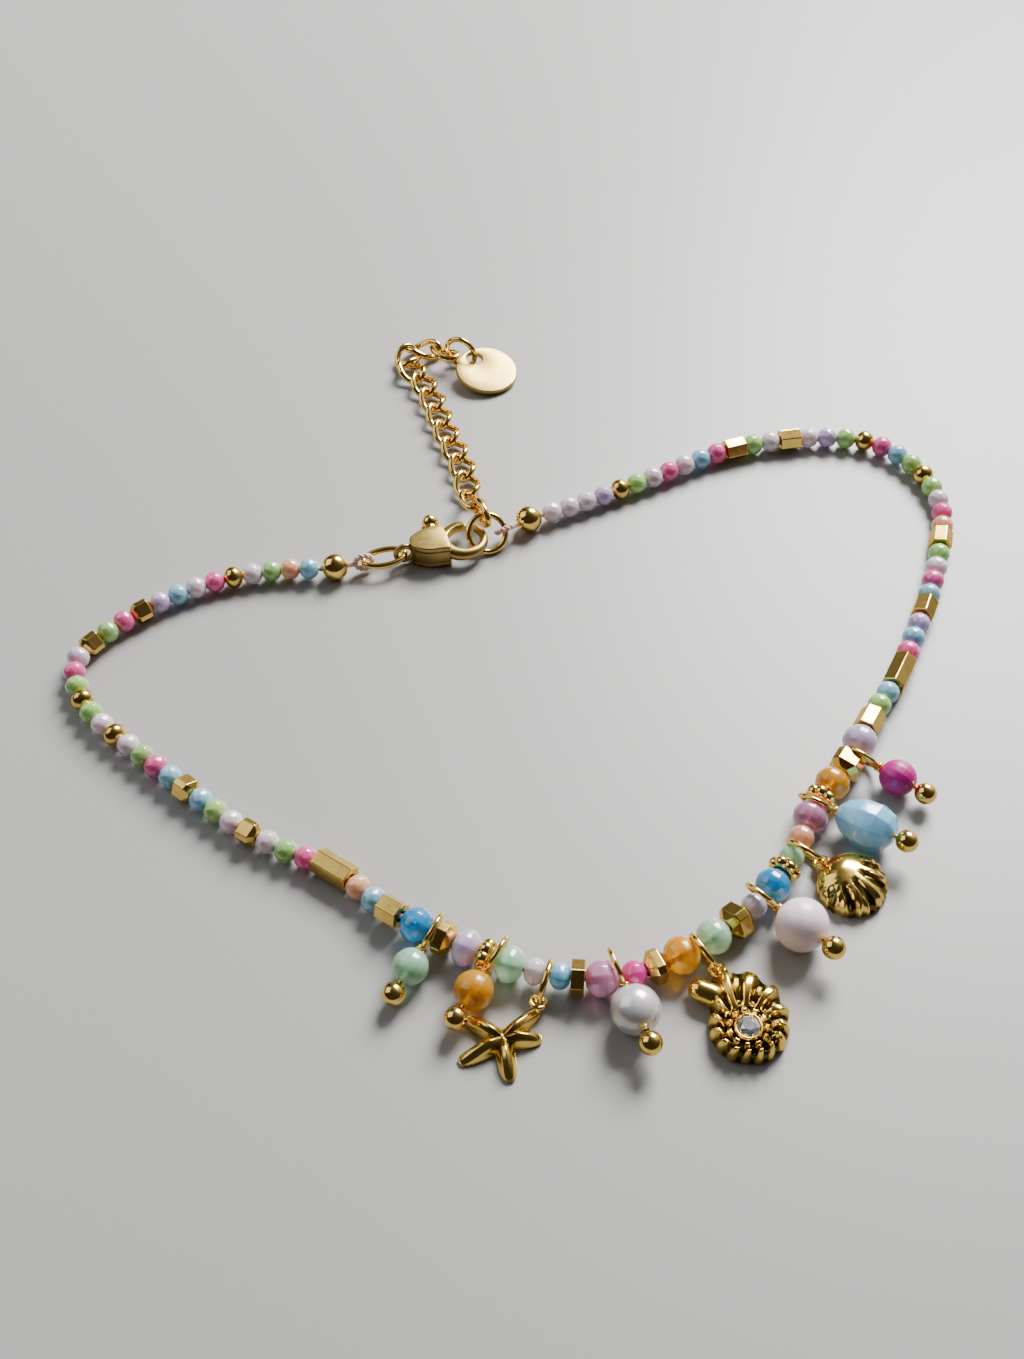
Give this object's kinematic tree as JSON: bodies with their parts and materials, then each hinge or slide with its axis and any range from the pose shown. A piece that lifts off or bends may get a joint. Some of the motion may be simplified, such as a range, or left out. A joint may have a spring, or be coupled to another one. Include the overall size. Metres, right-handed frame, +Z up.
{
  "type": "beaded charm anklet",
  "caption": "Anklet of small stone beads with metal charms and bead drops at the front, a lever clasp, a main ring and an extender chain that ends in a bare round tag.",
  "frame": {"origin": "under the middle of the whole jewel's outline, on the surface that it lies on", "axes": "+X to the right and +Y away from the charms towards the clasp and the extender chain, as the picture shows it, +Z up"},
  "size_m": [0.0854, 0.0912, 0.0043],
  "materials": {
    "gold": "polished gold plate",
    "thread": "twisted thread",
    "strings": "frosted faceted small stones in pastel colours with gold beads between",
    "blue": "polished bright blue stone",
    "lilac": "frosted lilac stone",
    "mint": "frosted mint stone",
    "pale": "frosted pale pink stone",
    "sky": "polished sky blue stone",
    "mauve": "polished mauve stone",
    "hot_pink": "polished hot pink stone",
    "amber": "polished amber stone",
    "grey": "polished pale grey stone",
    "peach": "polished peach stone",
    "pearl": "lustrous white pearl",
    "rose": "milky pale pink stone",
    "fuchsia": "polished fuchsia stone",
    "crystal": "clear cut crystal"
  },
  "bodies": {
    "anklet": {"bead_string_left": "strings", "bead_string_right": "strings", "thread_front": "thread", "bead_blue_1": "blue", "bead_gold_1": "gold", "bead_lilac_1": "lilac", "spacer_1": "gold", "bead_mint_1": "mint", "bead_pale_1": "pale", "bead_sky": "sky", "disc": "gold", "bead_mauve_1": "mauve", "bead_hot_pink": "hot_pink", "bead_gold_2": "gold", "bead_amber_1": "amber", "bead_mint_2": "mint", "bead_gold_3": "gold", "bead_grey": "grey", "bead_blue_2": "blue", "spacer_2": "gold", "bead_mint_3": "mint", "bead_peach": "peach", "bead_mauve_2": "mauve", "spacer_3": "gold", "bead_amber_2": "amber", "bead_gold_4": "gold", "bead_lilac_2": "lilac", "bead_hex": "gold", "drop_mint_pin": "gold", "drop_mint": "mint", "drop_amber_pin": "gold", "drop_amber": "amber", "drop_pearl_pin": "gold", "drop_pearl": "pearl", "drop_rose_pin": "gold", "drop_rose": "rose", "drop_teardrop_pin": "gold", "drop_teardrop": "sky", "drop_fuchsia_pin": "gold", "drop_fuchsia": "fuchsia", "starfish_ring": "gold", "starfish": "gold", "ammonite_ring": "gold", "ammonite": "gold", "crystal": "crystal", "scallop_ring": "gold", "scallop": "gold", "crimp_left": "gold", "crimp_right": "gold", "oval_link": "gold", "clasp_body": "gold", "main_ring": "gold", "extender_chain": "gold", "tag_ring": "gold", "tag": "gold"},
    "clasp_lever": {"clasp_lever": "gold"}
  },
  "joints": [
    {"name": "clasp_lever_hinge", "type": "hinge", "parent": "anklet", "child": "clasp_lever", "pos_m": [-0.0088, 0.01175, 0.00132], "axis": [0, 0, 1], "range_deg": [-10, 0], "stiffness_Nm_per_rad": 0.0001}
  ]
}
